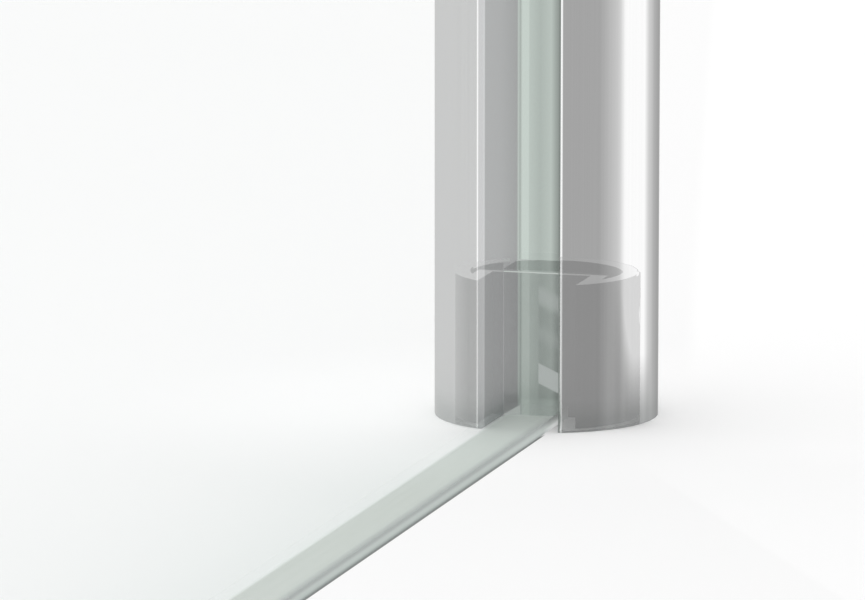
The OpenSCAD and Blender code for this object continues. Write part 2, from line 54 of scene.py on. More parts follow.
class Graph:
    def __init__(self, tree):
        self.tree = tree

    def add(self, kind, **settings):
        node = self.tree.nodes.new(kind)
        for key, value in settings.items():
            setattr(node, key, value)
        return node

    def join(self, value, socket):
        if isinstance(value, bpy.types.NodeSocket):
            self.tree.links.new(value, socket)
        else:
            socket.default_value = value

    def math(self, operation, *values):
        node = self.add("ShaderNodeMath", operation=operation)
        for socket, value in zip(node.inputs, values):
            self.join(value, socket)
        return node.outputs[0]

    def times(self, value, *factors):
        for factor in factors:
            value = self.math("MULTIPLY", value, factor)
        return value

    def line(self, value, slope, start):  # value x slope + start
        return self.math("MULTIPLY_ADD", value, slope, start)

    def without(self, share):
        return self.math("SUBTRACT", 1.0, share)

    def most(self, a, b):
        return self.math("MAXIMUM", a, b)

    def over(self, value, level):  # 1 above the level, 0 below it
        return self.math("GREATER_THAN", value, level)

    def under(self, value, level):
        return self.math("LESS_THAN", value, level)

    def distance(self, x, y):
        return self.math("SQRT", self.math("ADD", self.times(x, x), self.times(y, y)))

    def scaled(self, value, low, high, toLow=0.0, toHigh=1.0, smooth=True):
        kind = "SMOOTHSTEP" if smooth else "LINEAR"
        node = self.add("ShaderNodeMapRange", interpolation_type=kind)
        for key, item in (("Value", value), ("From Min", low), ("From Max", high),
                          ("To Min", toLow), ("To Max", toHigh)):
            self.join(item, node.inputs[key])
        return node.outputs[0]

    def between(self, value, low, high, soft):
        up = self.scaled(value, low - soft, low + soft)
        down = self.scaled(value, high - soft, high + soft, 1.0, 0.0)
        return self.times(up, down)

    def ramp(self, value, stops):
        node = self.add("ShaderNodeValToRGB")
        elements = node.color_ramp.elements
        while len(elements) < len(stops):
            elements.new(0.5)
        for element, (place, colour) in zip(elements, stops):
            element.position = place
        for element, (place, colour) in zip(elements, stops):
            element.color = (*colour, 1.0)
        self.join(value, node.inputs[0])
        return node.outputs[0]

    def tones(self, value, stops, low=None, high=None):
        # a ramp whose stops are in the value's own unit, from low to high
        low = stops[0][0] if low is None else low
        high = stops[-1][0] if high is None else high
        place = self.scaled(value, low, high, smooth=False)
        return self.ramp(place, [((at - low) / (high - low), colour) for at, colour in stops])

    def cloudy(self, noise, first, second):  # noise lies mostly between 0.3 and 0.7
        return self.ramp(noise, [(0.3, first), (0.7, second)])

    def blend(self, share, a, b, kind="MIX"):
        node = self.add("ShaderNodeMix", data_type="RGBA", blend_type=kind)
        for socket, value in ((node.inputs[0], share), (node.inputs[6], a), (node.inputs[7], b)):
            self.join(value, socket)
        return node.outputs[2]

    def tinted(self, a, b):
        return self.blend(1.0, a, b, "MULTIPLY")

    def noise(self, vector, scale, detail=2.0):
        node = self.add("ShaderNodeTexNoise")
        for key, value in (("Vector", vector), ("Scale", scale), ("Detail", detail)):
            self.join(value, node.inputs[key])
        return node.outputs[0]

    def stretched(self, vector, factors):
        node = self.add("ShaderNodeVectorMath", operation="MULTIPLY")
        self.join(vector, node.inputs[0])
        self.join(factors, node.inputs[1])
        return node.outputs[0]

    def split(self, vector):
        node = self.add("ShaderNodeSeparateXYZ")
        self.join(vector, node.inputs[0])
        return node.outputs


def fromScreen(*levels):  # display levels of 0 to 255 as the linear colour that shows them
    share = np.array(levels, float) / 255
    return tuple(np.where(share < 0.04045, share / 12.92, ((share + 0.055) / 1.055) ** 2.4))


class Finish:
    # A material, with its object coordinates in millimetres as place, x, y and z
    def __init__(self, name, **plain):
        self.material = bpy.data.materials.new(name)
        self.material.use_nodes = True
        self.graph = Graph(self.material.node_tree)
        self.shader = self.material.node_tree.nodes["Principled BSDF"]
        for key, value in plain.items():
            self.shader.inputs[key.replace("_", " ")].default_value = value
        coordinates = self.graph.add("ShaderNodeTexCoord").outputs["Object"]
        self.place = self.graph.stretched(coordinates, (1000, 1000, 1000))
        self.x, self.y, self.z = self.graph.split(self.place)

    def link(self, key, value):
        self.graph.join(value, self.shader.inputs[key])

    def glow(self, colour):
        self.link("Emission Color", colour)
        self.shader.inputs["Emission Strength"].default_value = 1.0


def dress(material, *names):
    for name in names:
        for place in nodes[name].material_slots:
            place.material = material


# Camera at the photograph's angle

cameraSettings = dict(
    place=(0.8303, 0.2232, 0.1604), forward=(-0.9477, -0.2717, -0.1676),
    lens=290.6, sensor=36.0, clipEnd=200.0,
)


def makeCamera(s):
    data = bpy.data.cameras.new("camera")
    data.sensor_fit = "HORIZONTAL"
    data.sensor_width = s.sensor
    data.lens = s.lens
    data.clip_end = s.clipEnd
    camera = bpy.data.objects.new("camera", data)
    bpy.context.collection.objects.link(camera)
    turn = Vector(s.forward).to_track_quat("-Z", "Y").to_matrix().to_4x4()
    camera.matrix_world = Matrix.Translation(s.place) @ turn
    bpy.context.scene.camera = camera


makeCamera(named(cameraSettings))
bpy.context.scene.view_settings.view_transform = "Standard"
print("camera placed")

# Soft studio light: an even white dome, which polished metal sees as pale and grey walls

studioSettings = dict(
    dome=1.045,
    lean=0.22,   # how much lighter the dome is on the glass's far side
    # azimuth in degrees from +X towards +Y, and how light the studio wall is there
    walls=[(-180, 0.37), (-168, 0.58), (-150, 0.60), (-62, 0.60), (-58, 0.97), (0, 0.97),
           (7, 0.93), (19, 0.40), (27, 0.378), (70, 0.378),
           (92, 0.575), (96, 0.67), (102, 0.96), (105, 0.98), (134, 0.98), (143, 0.65),
           (158, 0.44), (172, 0.36), (180, 0.365)],
)


def makeStudio(s):
    world = bpy.data.worlds.new("studio")
    world.use_nodes = True
    bpy.context.scene.world = world
    graph = Graph(world.node_tree)
    x, y = graph.split(graph.add("ShaderNodeTexCoord").outputs["Generated"])[:2]
    turn = graph.line(graph.math("ARCTAN2", y, x), 0.5 / math.pi, 0.5)
    walls = graph.ramp(turn, [((angle + 180) / 360, (light,) * 3) for angle, light in s.walls])
    path = graph.add("ShaderNodeLightPath").outputs
    mirrored = graph.times(path["Is Glossy Ray"], graph.under(path["Diffuse Depth"], 0.5))
    dome = graph.line(y, -s.lean * s.dome, s.dome)
    background = world.node_tree.nodes["Background"]
    graph.join(graph.blend(mirrored, dome, walls), background.inputs["Color"])


floorSettings = dict(
    size=90.0, level=-0.00005,
    tones=((0.935, 0.935, 0.935, 1), (0.955, 0.955, 0.955, 1)), clouds=0.004,
    # Painted light that lifts the floor towards white close to the post
    whiteNear=(60.0, 17.0, 0.0, 0.85),   # two distances from the post, and how white at each
    # Painted soft green shadow of the glass: its reach, and where it starts and ends along the
    # glass
    glassBack=-4.5, shadeReach=20.0, shadeStart=(-20.0, 60.0), shadeEnd=(890.0, 840.0),
    shadeTone=(0.85, 0.88, 0.87, 1),
    # Light thrown by the post past two straight lines (slope, start, softness), each from one x
    # to another, and the x between which it fades far away
    thrownLine=(0.235, 18.1, 1.5), thrownFrom=(40.0, 10.0, 0.0, 1.0),
    wedgeLine=(0.59, 2.1, 0.8), wedgeFrom=(14.0, 22.0, 0.0, 0.5),
    thrownFar=(-1200.0, -600.0), thrownEnd=(400.0, 150.0),
    thrownTone=(0.985, 0.985, 0.985, 1),
    # Painted contact shadow: a fine dark line where the strip meets the floor, its y and x as low,
    # high and softness
    lineY=(3.4, 3.74, 0.06), lineX=(15.0, 852.8, 1.5), lineShare=0.95,
    lineTone=(0.2, 0.215, 0.21, 1),
)


def makeFloorFinish(s):
    finish = Finish("paleFloor", Roughness=0.9, Specular_IOR_Level=0.0)
    graph, x, y = finish.graph, finish.x, finish.y

    def past(slope, start, soft):
        return graph.scaled(graph.math("SUBTRACT", y, graph.line(x, slope, start)), -soft, soft)

    ground = graph.blend(graph.noise(finish.place, s.clouds, 1.0), *s.tones)
    # Painted light: the floor turns white close to the post
    ground = graph.blend(graph.scaled(graph.distance(x, y), *s.whiteNear), ground, white)
    # The painted shadow is e to the power of -distance from the glass / reach
    away = graph.math("SUBTRACT", s.glassBack, y)
    fade = graph.math("POWER", math.e, graph.times(graph.most(away, 0.0), -1 / s.shadeReach))
    shade = graph.times(fade, graph.scaled(x, *s.shadeStart), graph.over(away, 0.0),
                        graph.scaled(x, *s.shadeEnd))
    ground = graph.blend(shade, ground, graph.tinted(ground, s.shadeTone))
    thrown = graph.times(past(*s.thrownLine), graph.scaled(x, *s.thrownFrom))
    wedge = graph.times(past(*s.wedgeLine), graph.scaled(x, *s.wedgeFrom))
    thrown = graph.times(graph.most(thrown, wedge), graph.scaled(x, *s.thrownFar),
                         graph.scaled(x, *s.thrownEnd))
    ground = graph.blend(thrown, ground, s.thrownTone)
    # Painted contact shadow along the strip's foot
    line = graph.times(graph.between(y, *s.lineY), graph.between(x, *s.lineX), s.lineShare)
    finish.link("Base Color", graph.blend(line, ground, s.lineTone))
    return finish.material


def makeFloor(s):
    half, level = s.size / 2, s.level
    mesh = bpy.data.meshes.new("floor")
    mesh.from_pydata([(-half, -half, level), (half, -half, level), (half, half, level),
                      (-half, half, level)], [], [(0, 1, 2, 3)])
    mesh.materials.append(makeFloorFinish(s))
    floor = bpy.data.objects.new("floor", mesh)
    bpy.context.collection.objects.link(floor)
    floor.visible_glossy = False  # polished metal shows the studio walls, as in the photograph


makeStudio(named(studioSettings))
makeFloor(named(floorSettings))
print("studio made")

# The window through which the foot shows, as in the photograph, and the slot's painted light
# streaks

ghostSettings = dict(
    azimuth=16.0,        # degrees from +X, the side from which the window is cut
    slope=0.164,         # how fast a line of sight falls
    footRadius=11.56, footHeight=17.85,
    far=(1.0115, 0.215),     # the foot's far rim is a little smaller in sight than the near skin
    margin=0.1,          # how far inside the foot's sides the window ends
    near=-1.5,           # depth from which a surface is the near one
    glassEnd=1.62,       # how far across the window the glass edge reaches
    veil=0.70,           # how much of the post's own surface is left in the window
)
ghost = named(ghostSettings)

# Painted light and reflection stripes across the slot, shown as emission: millimetres along the
# window's width, and display level. The glass edge's have its green tint.
slotLightSettings = dict(
    low=-9.0, high=3.0, metalTint=(1.0, 1.0, 1.005), glassTint=(0.953, 1.0, 0.971),
    lipStripes=[(-7.87, 206)],
    wallStripes=[(-7.80, 172), (-5.8, 168), (-3.70, 156)],
    cornerStripes=[(-3.5, 194), (-3.3, 172)],
    edgeStripes=[(-3.05, 208), (-2.25, 208), (-2.14, 195), (-0.8, 182), (0.55, 194)],
    farStripes=[(1.1, 168), (1.5, 150)],
)


def reachTowards(finish, azimuth):
    # how far a point lies from the post's axis, measured level towards an azimuth in degrees
    graph, turn = finish.graph, math.radians(azimuth)
    return graph.math("ADD", graph.times(finish.x, math.cos(turn)),
                      graph.times(finish.y, math.sin(turn)))


def acrossWindow(finish):
    return reachTowards(finish, ghost.azimuth + 90)


def ghostWindow(finish, across, depth):
    # 1 where the foot lies straight behind the surface, seen from the window's side: z is under
    # footHeight + slope x (depth + the square root of footRadius squared less far squared)
    s, graph = ghost, finish.graph
    far = graph.line(across, *s.far)
    chord = graph.math("SUBTRACT", s.footRadius ** 2, graph.times(far, far))
    reach = graph.math("ADD", depth, graph.math("SQRT", graph.most(chord, 0.0)))
    below = graph.under(finish.z, graph.line(reach, s.slope, s.footHeight))
    inside = graph.under(graph.math("ABSOLUTE", across), s.footRadius - s.margin)
    return graph.times(below, inside)


# Painted light and reflections, as stripes across the slot, for emission
def slotPaintedLight(finish, across, strength=1.0):
    s = named(slotLightSettings)
    metal = s.lipStripes + s.wallStripes
    glass = s.cornerStripes + s.edgeStripes + s.farStripes
    stops = []
    for stripes, tint in ((metal, s.metalTint), (glass, s.glassTint)):
        for at, level in stripes:
            shown = fromScreen(*(level * share for share in tint))
            stops.append((at, [strength * part for part in shown]))
    return finish.graph.tones(across, stops, s.low, s.high)


# The post: drawn metal, dark inside its slot but for painted light (emission) on the slot's walls

postSettings = dict(
    half=4.88, back=-4.6,         # the slot's half width, and the x of its back
    lips=11.0, lipReach=0.29, leftReach=0.13,   # how much of the lips is the slot's
    nose=4.87, skin=12.9, wall=11.6,   # side of the lips' noses, and two radii
    grain=6.0, stretch=0.002, tone=(0.975, 1.0), polish=(0.025, 0.04),
    slotRoughness=0.5,
    # The painted shade that ends the bright streak: its height and power, how its curve bends up
    # between two azimuths, and the azimuths between which it comes up and goes
    endHeight=8.8, endPower=1.25, bend=1.38, bendTurn=(66, 55),
    lost=0.52, riseTurn=(47, 61), fallTurn=(88, 72),
    # The slot's walls: their side, the left one's end, where the right one mirrors the left one,
    # and the right lip's nose with its shade
    wallSide=4.7, leftEnd=11.8, mirror=-4.61, noseSide=4.8, noseShade=0.3,
    # Painted shade near the floor on the metal, in the slot and on its left wall: height above the
    # floor, and how much of the light is left there
    nearFloor=[(0.0, (0.74, 0.76, 0.755)), (1.5, (0.80, 0.815, 0.81)),
               (2.7, (0.89, 0.90, 0.895)), (4.0, (0.955, 0.96, 0.96)),
               (6.5, (0.985, 0.985, 0.985)), (10.0, (1, 1, 1))],
    inSlot=[(0.0, (0.56, 0.585, 0.58)), (0.8, (0.62, 0.64, 0.635)),
            (1.92, (0.77, 0.785, 0.78)), (3.2, (0.88, 0.89, 0.885)),
            (4.8, (0.95, 0.955, 0.955)), (8.0, (1, 1, 1))],
    leftWall=[(0.0, (0.42, 0.445, 0.44)), (0.8, (0.52, 0.545, 0.54)),
              (1.92, (0.76, 0.78, 0.775)), (3.2, (0.90, 0.91, 0.905)),
              (4.8, (0.965, 0.97, 0.965)), (8.0, (1, 1, 1))],
)


def makePostMetal(s):
    finish = Finish("polishedPost", Metallic=1.0)
    graph, x, y, z = finish.graph, finish.x, finish.y, finish.z
    across, depth = acrossWindow(finish), reachTowards(finish, ghost.azimuth)
    radius = graph.distance(x, y)
    # The slot: its two walls and back, and the inner halves of the lips at its mouth
    side = graph.math("ABSOLUTE", y)
    left, lip = graph.under(y, 0.0), graph.over(x, s.lips)
    half = graph.line(lip, graph.line(left, s.leftReach, s.lipReach), s.half)
    slot = graph.times(graph.under(side, half), graph.over(x, s.back))
    # In the window the skin and the slot's far wall are a veil, and what lies between is clear
    window = ghostWindow(finish, across, depth)
    near = graph.over(depth, ghost.near)
    outer = graph.times(graph.over(radius, s.skin), graph.without(slot))
    nose = graph.times(lip, graph.over(side, s.nose))
    skin = graph.most(outer, graph.times(slot, graph.most(left, nose)))
    veil = graph.times(skin, near, ghost.veil)
    # Behind the veil the round wall stays, and so do the slot's faces that show through its mouth
    through = graph.times(slot, graph.under(across, ghost.glassEnd))
    kept = graph.times(graph.most(graph.over(radius, s.wall), through), graph.without(near))
    seen = graph.times(window, graph.most(veil, kept))
    finish.link("Alpha", graph.math("ADD", graph.without(window), seen))
    # Faint lines drawn along the post
    grain = graph.noise(graph.stretched(finish.place, (1.0, 1.0, s.stretch)), s.grain, 3.0)
    tone = graph.scaled(grain, 0.3, 0.7, *s.tone)
    polish = graph.scaled(grain, 0.3, 0.7, *s.polish)
    finish.link("Roughness", graph.line(slot, s.slotRoughness, polish))
    # Painted shade in the base colour makes the bright streak at the right run out in a curve above
    # the floor. The share lost is (1 - height squared) to the power of endPower, with the height as
    # a share of the curve's
    turn = graph.math("ARCTAN2", y, x)
    towards = graph.scaled(turn, *np.radians(s.bendTurn), smooth=False)
    bend = graph.line(graph.times(towards, towards), s.bend, 1.0)
    height = graph.math("DIVIDE", graph.math("DIVIDE", z, bend), s.endHeight)
    under = graph.most(graph.without(graph.times(height, height)), 0.0)
    lost = graph.times(graph.scaled(turn, *np.radians(s.riseTurn), 0.0, s.lost),
                       graph.scaled(turn, *np.radians(s.fallTurn)),
                       graph.math("POWER", under, s.endPower))
    # Base colour with painted shade near the floor and at the bright streak's end
    metal = graph.tinted(graph.tones(z, s.nearFloor), graph.times(tone, graph.without(lost)))
    finish.link("Base Color", graph.blend(slot, metal, black))
    # Painted light (emission) on the slot's walls, mirrored from one wall to the other
    mirrored = graph.line(x, -math.sin(math.radians(ghost.azimuth)), s.mirror)
    rightWall = graph.times(graph.over(y, s.wallSide), graph.without(lip))
    used = graph.math("ADD", graph.times(across, graph.without(rightWall)),
                      graph.times(mirrored, rightWall))
    leftWall = graph.times(graph.under(y, -s.wallSide), graph.under(x, s.leftEnd))
    # Painted shade near the floor on the slot's painted light
    deep = graph.blend(leftWall, graph.tones(z, s.inSlot), graph.tones(z, s.leftWall))
    held = graph.tinted(slotPaintedLight(finish, used), deep)
    shaded = graph.times(lip, graph.over(y, s.noseSide), s.noseShade)
    finish.glow(graph.blend(slot, black, graph.blend(shaded, held, black)))
    return finish.material


# The foot: near-black, with painted light (emission) for the tones that show through the window and
# the slot

footSettings = dict(
    cast=((0.03, 0.03, 0.03), (0.045, 0.045, 0.046)),
    wallFront=2.3, wallEnd=2.7,        # the x of the cross wall's front
    wallLeft=-5.4, pocketLeft=-5.35,   # how far across each shows through the slot
    streaks=0.61,                      # strength of the glass edge's streaks on it
    nearFloor=[(0.0, (0.85, 0.87, 0.86)), (1.82, (0.86, 0.88, 0.87)),
               (2.24, (0.80, 0.82, 0.81)), (4.2, (0.93, 0.935, 0.93)), (7.0, (1, 1, 1))],
    beside=-3.42, besideGain=(1.5, 3.2, 0.81, 1.12),   # two heights, and the gain at each
    cornerLine=(0.64, 3.4), cornerSoft=0.06, cornerEnd=-3.3,
    cornerTone=(0.325, 0.35, 0.335, 1),
    # Pale reflections on the cross wall: low, high, softness and share of each
    slant=0.45, patchSide=(-0.45, -0.3), patchShare=0.85,
    patches=((14.2, 16.2, 0.6, 0.5), (9.6, 11.2, 0.8, 0.26), (3.95, 6.5, 0.12, 1.0)),
    patchTone=(0.39, 0.415, 0.405, 1),
    shadeTop=(14.2, 13.4), shadeLow=(2.0, 2.4), shade=0.11,
    # Painted reflections of the studio's walls on its light top faces, shown as emission: place
    # across and how light
    topWidth=12.0,
    top=[(-11.6, 0.60), (-8.0, 0.55), (-5.5, 0.46), (0.0, 0.42), (3.5, 0.37), (7.0, 0.43),
         (9.0, 0.56), (10.0, 0.66), (11.6, 0.9)],
    topBehind=(0.46, 0.49, 0.47, 1),
    # Painted light at the foot's left side
    limb=(-9.8, -11.6, 0.0, 0.32),   # two places at its left side, and the light at each
    rim=17.74, ring=9.56,            # z of its far rim, and radius inside its wall
    topFront=(1.75, 1.55),           # x at the front of the cross wall's top
)


def makeFootMetal(s):
    finish = Finish("castFoot", Roughness=0.5)
    graph, x, y, z = finish.graph, finish.x, finish.y, finish.z
    across = acrossWindow(finish)
    facing = graph.split(graph.add("ShaderNodeNewGeometry").outputs["True Normal"])
    up = graph.over(facing[2], 0.5)
    finish.link("Base Color", graph.cloudy(graph.noise(finish.place, 0.8, 3.0), *s.cast))
    # Straight behind the open slot the foot glows with the glass edge's streaks: painted light and
    # reflection
    step = graph.over(x, s.wallFront)
    front = graph.times(step, graph.over(across, s.wallLeft))
    pocket = graph.times(graph.without(step), graph.over(across, s.pocketLeft))
    behind = graph.times(graph.math("ADD", front, pocket),
                         graph.under(across, ghost.glassEnd), graph.under(x, s.wallEnd))
    streaks = slotPaintedLight(finish, across, s.streaks)
    # Painted shade near the floor on the cross wall's painted light
    streaks = graph.blend(step, streaks, graph.tinted(streaks, graph.tones(z, s.nearFloor)))
    # Left of the glass edge its painted light is as light as the slot's wall, with painted shade
    # close to the floor
    gain = graph.scaled(z, *s.besideGain)
    streaks = graph.blend(graph.under(across, s.beside), streaks, graph.tinted(streaks, gain))
    # Painted light (emission) for the bed's pale corner at the wall's foot, under a line that rises
    # to the right
    corner = graph.math("SUBTRACT", graph.line(across, *s.cornerLine), z)
    corner = graph.times(graph.scaled(corner, -s.cornerSoft, s.cornerSoft),
                         graph.under(across, s.cornerEnd), step)
    streaks = graph.blend(corner, streaks, s.cornerTone)
    # Pale reflections on the cross wall, with edges that slant down to the right, and shade
    slant = graph.line(y, s.slant, z)
    wide = graph.scaled(y, *s.patchSide)
    shade = graph.times(graph.scaled(slant, *s.shadeTop), graph.scaled(z, *s.shadeLow),
                        wide, step, s.shade)
    streaks = graph.blend(shade, streaks, black)
    patches = 0.0
    for low, high, soft, share in s.patches:
        patch = graph.times(graph.between(slant, low, high, soft), share)
        patches = graph.most(patches, patch)
    streaks = graph.blend(graph.times(patches, wide, s.patchShare), streaks, s.patchTone)
    top = graph.tones(across, [(at, (light,) * 3) for at, light in s.top],
                      -s.topWidth, s.topWidth)
    top = graph.blend(behind, top, s.topBehind)
    side = graph.blend(behind, graph.scaled(across, *s.limb, smooth=False), streaks)
    # Painted light on the pocket's far rim, the same as on the top
    rim = graph.times(graph.over(z, s.rim), graph.under(x, 0.0))
    side = graph.blend(rim, side, top)
    # Painted light only on the front of the cross wall's top; the rest is as dark as the pocket
    inner = graph.times(graph.under(graph.distance(x, y), s.ring), graph.scaled(x, *s.topFront))
    # The foot glows: painted light on its top and sides
    finish.glow(graph.blend(up, side, graph.blend(inner, top, side)))
    return finish.material


dress(makePostMetal(named(postSettings)), "post_profile")
dress(makeFootMetal(named(footSettings)), "floor_foot")
print("post and foot dressed")

# The other metals, the screws' steel, nylon and the clear seals

braceLine = 2021.1      # height of the brace's axis
metalSettings = dict(
    grain=5.0,       # waves of the lines across one millimetre
    stretch=0.002,   # how much slower they change along the metal
    bump=0.0001,
    # scale of the handling marks, and strength of the lines' bump
    drawn=(0.02, 0.08), turned=(0.05, 0.10),
    # light and dark tones, and least and greatest roughness
    bright=((0.955, 0.955, 0.96, 1.0), (0.885, 0.885, 0.895, 1.0), (0.10, 0.19)),
    machined=((0.45, 0.45, 0.46, 1), (0.32, 0.32, 0.33, 1), (0.3, 0.45)),
    steel=((0.62, 0.62, 0.63, 1), (0.48, 0.48, 0.49, 1), (0.22, 0.36)),
    # how each is worked, the axis of that, its tones, and the nodes that it dresses
    metals={
        "drawnProfile": ("drawn", "z", "bright", "glazing_profile", "profile_cap", "wall_channel"),
        "drawnTube": ("drawn", "y", "bright", "brace_tube_outer", "brace_tube_inner"),
        "turnedCap": ("turned", "z", "bright", "post_cap", "brace_knuckle"),
        "turnedFitting": ("turned", "y", "bright", "brace_eye", "wall_clevis"),
        "machinedInsert": ("turned", "z", "machined", "top_insert"),
        "screwSteel": ("turned", "z", "steel", "cap_screws", "swivel_pin"),
    },
)


def makeMetal(name, worked, axis, tone):
    s, finish = named(metalSettings), Finish(name, Metallic=1.0)
    graph, x, y, z = finish.graph, finish.x, finish.y, finish.z
    if worked == "drawn":  # fine lines left by the die along the metal
        factors = [s.stretch if letter == axis else 1.0 for letter in "xyz"]
        lines = graph.stretched(finish.place, factors)
    else:  # rings left by the lathe round the axis, which is upright or lies along the brace
        rings = graph.add("ShaderNodeCombineXYZ")
        second = y if axis == "z" else graph.math("SUBTRACT", z, braceLine)
        graph.join(graph.distance(x, second), rings.inputs[0])
        graph.join(z if axis == "z" else y, rings.inputs[1])
        lines = rings.outputs[0]
    marks, strength = metalSettings[worked]
    light, dark, (low, high) = metalSettings[tone]
    grain = graph.noise(lines, s.grain, 3.0)
    smudge = graph.noise(finish.place, marks, 3.0)
    finish.link("Base Color", graph.blend(graph.scaled(grain, 0.3, 0.7), dark, light))
    finish.link("Roughness", graph.line(graph.math("ADD", grain, smudge), (high - low) / 2, low))
    bump = graph.add("ShaderNodeBump")
    for key, value in (("Strength", strength), ("Distance", s.bump), ("Height", grain)):
        graph.join(value, bump.inputs[key])
    finish.link("Normal", bump.outputs[0])
    return finish.material


softSettings = dict(
    # stretch, scale and detail of the clouds, their two tones, and least and greatest roughness
    darkNylon=((1, 1, 1), 1.5, 4.0, (0.035, 0.035, 0.037), (0.06, 0.06, 0.062), (0.45, 0.62)),
    clearSeal=((1, 1, 0.02), 0.9, 3.0, (0.68, 0.74, 0.72), (0.80, 0.85, 0.83), (0.25, 0.40)),
)


def makeSoft(name, **plain):
    stretch, scale, detail, first, second, polish = softSettings[name]
    finish = Finish(name, **plain)
    graph = finish.graph
    cloud = graph.noise(graph.stretched(finish.place, stretch), scale, detail)
    finish.link("Base Color", graph.cloudy(cloud, first, second))
    finish.link("Roughness", graph.scaled(cloud, 0.3, 0.7, *polish))
    return finish.material


metals = {}
for name, (worked, axis, tone, *dressed) in metalSettings["metals"].items():
    metals[name] = makeMetal(name, worked, axis, tone)
    dress(metals[name], *dressed)
fittingMetal, screwSteel = metals["turnedFitting"], metals["screwSteel"]
darkNylon = makeSoft("darkNylon", Specular_IOR_Level=0.4)
clearSeal = makeSoft("clearSeal", Alpha=0.55, Specular_IOR_Level=0.45)
dress(darkNylon, "glide_plug")
print("metals, nylon and seals made")


# Pieces made as numpy surfaces. Each part of a piece is a grid of points with a material number.

class Piece:
    def __init__(self, name, body, node=None):
        self.name, self.body, self.node = name, body, node
        self.points, self.faces, self.kinds = [], [], []
        self.count = 0

    def grid(self, points, kinds=0, ring=False):
        # points has rows along the piece and columns round it; kinds has one number per column.
        # In a ring the last row joins the first.
        rows, columns = points.shape[:2]
        i = np.arange(rows if ring else rows - 1)[:, None]
        j = np.arange(columns)[None, :]
        k, after = (j + 1) % columns, (i + 1) % rows
        quads = np.stack(np.broadcast_arrays(i * columns + j, i * columns + k,
                                             after * columns + k, after * columns + j), -1)
        kinds = np.broadcast_to(kinds, (i.size, j.size))
        self.faces += (quads.reshape(-1, 4) + self.count).tolist()
        self.kinds += kinds.reshape(-1).tolist()
        self.points.append(points.reshape(-1, 3))
        self.count += rows * columns

    def solid(self, points, kinds=0):
        # a grid with its first and last rows closed by flat faces
        rows, columns = points.shape[:2]
        first = self.count + np.arange(columns)
        self.grid(points, kinds)
        self.faces += [first[::-1].tolist(), (first + (rows - 1) * columns).tolist()]
        self.kinds += [0, 0]

    def mesh(self):
        mesh = bpy.data.meshes.new(self.name)
        mesh.from_pydata((np.concatenate(self.points) * mm).tolist(), [], self.faces)
        return mesh

    def finish(self, materials, slot):
        mesh = self.mesh()
        for material in materials:
            mesh.materials.append(material)
        mesh.polygons.foreach_set("material_index", self.kinds)
        mesh.polygons.foreach_set("use_smooth", [True] * len(self.faces))
        mesh.set_sharp_from_angle(angle=sharpAngle)
        mesh.validate()
        mesh.update()
        made = bpy.data.objects.new(self.name, mesh)
        bpy.context.collection.objects.link(made)
        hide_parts(self.node)
        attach(made, self.body)
        return made


def quarter(first, steps, sense=1):  # angles of a quarter turn from the first one
    return np.radians(first + sense * np.linspace(0, 90, steps + 1))


# The glass: a sheet with polished, arrised edges and a notch over the foot

glassSettings = dict(
    left=-3.7, right=852.8, bottom=1.5, top=1999.6,
    notchX=4.0, notchZ=19.5, back=-4.5, front=3.5,
    corner=1.0, arris=0.35, cornerSteps=6,
    face=((0.36, 0.60, 0.50), (0.42, 0.65, 0.56)),
    rim=((0.42, 0.66, 0.55), (0.55, 0.76, 0.66)),
    # alpha far from the post's foot, how much clearer it is there, and the z and x between which
    alpha=0.09, clearer=0.07, clearZ=(1300.0, 80.0), clearX=(1150.0, 230.0),
)


def glassOutline(s, inset):
    # Corners in order; each is a quarter turn of its radius, less the inset outside and more inside
    r = s.corner
    corners = [(s.notchX, s.bottom, 180, 1), (s.right, s.bottom, 270, 1),
               (s.right, s.top, 0, 1), (s.left, s.top, 90, 1),
               (s.left, s.notchZ, 180, 1), (s.notchX, s.notchZ, 90, -1)]
    points = []
    for x, z, first, sense in corners:
        turn, radius = quarter(first, s.cornerSteps, sense), r - sense * inset
        centreX = x + (r if sense > 0 and first in (90, 180) else -r)
        centreZ = z + (r if sense > 0 and first in (180, 270) else -r)
        points.append(np.stack([centreX + radius * np.cos(turn),
                                centreZ + radius * np.sin(turn)], -1))
    return np.concatenate(points)


def makeGlassMaterials(s):
    face = Finish("clearGlass", Roughness=0.02, IOR=1.5)
    graph = face.graph
    face.link("Base Color", graph.cloudy(graph.noise(face.place, 0.01), *s.face))
    # Clearest at the foot of the post, a little greener over the rest of the sheet
    clear = graph.times(graph.scaled(face.z, *s.clearZ), graph.scaled(face.x, *s.clearX))
    face.link("Alpha", graph.line(clear, -s.clearer, s.alpha))
    edge = Finish("polishedGlassEdge", Roughness=0.08, IOR=1.5, Specular_IOR_Level=0.1,
                  Base_Color=black)
    # The edge in the slot shows the slot's painted light stripes as emission
    edge.glow(slotPaintedLight(edge, acrossWindow(edge)))
    rim = Finish("greenGlassRim", Roughness=0.12, IOR=1.5)
    rim.link("Base Color", rim.graph.cloudy(rim.graph.noise(rim.place, 0.3), *s.rim))
    return face.material, edge.material, rim.material


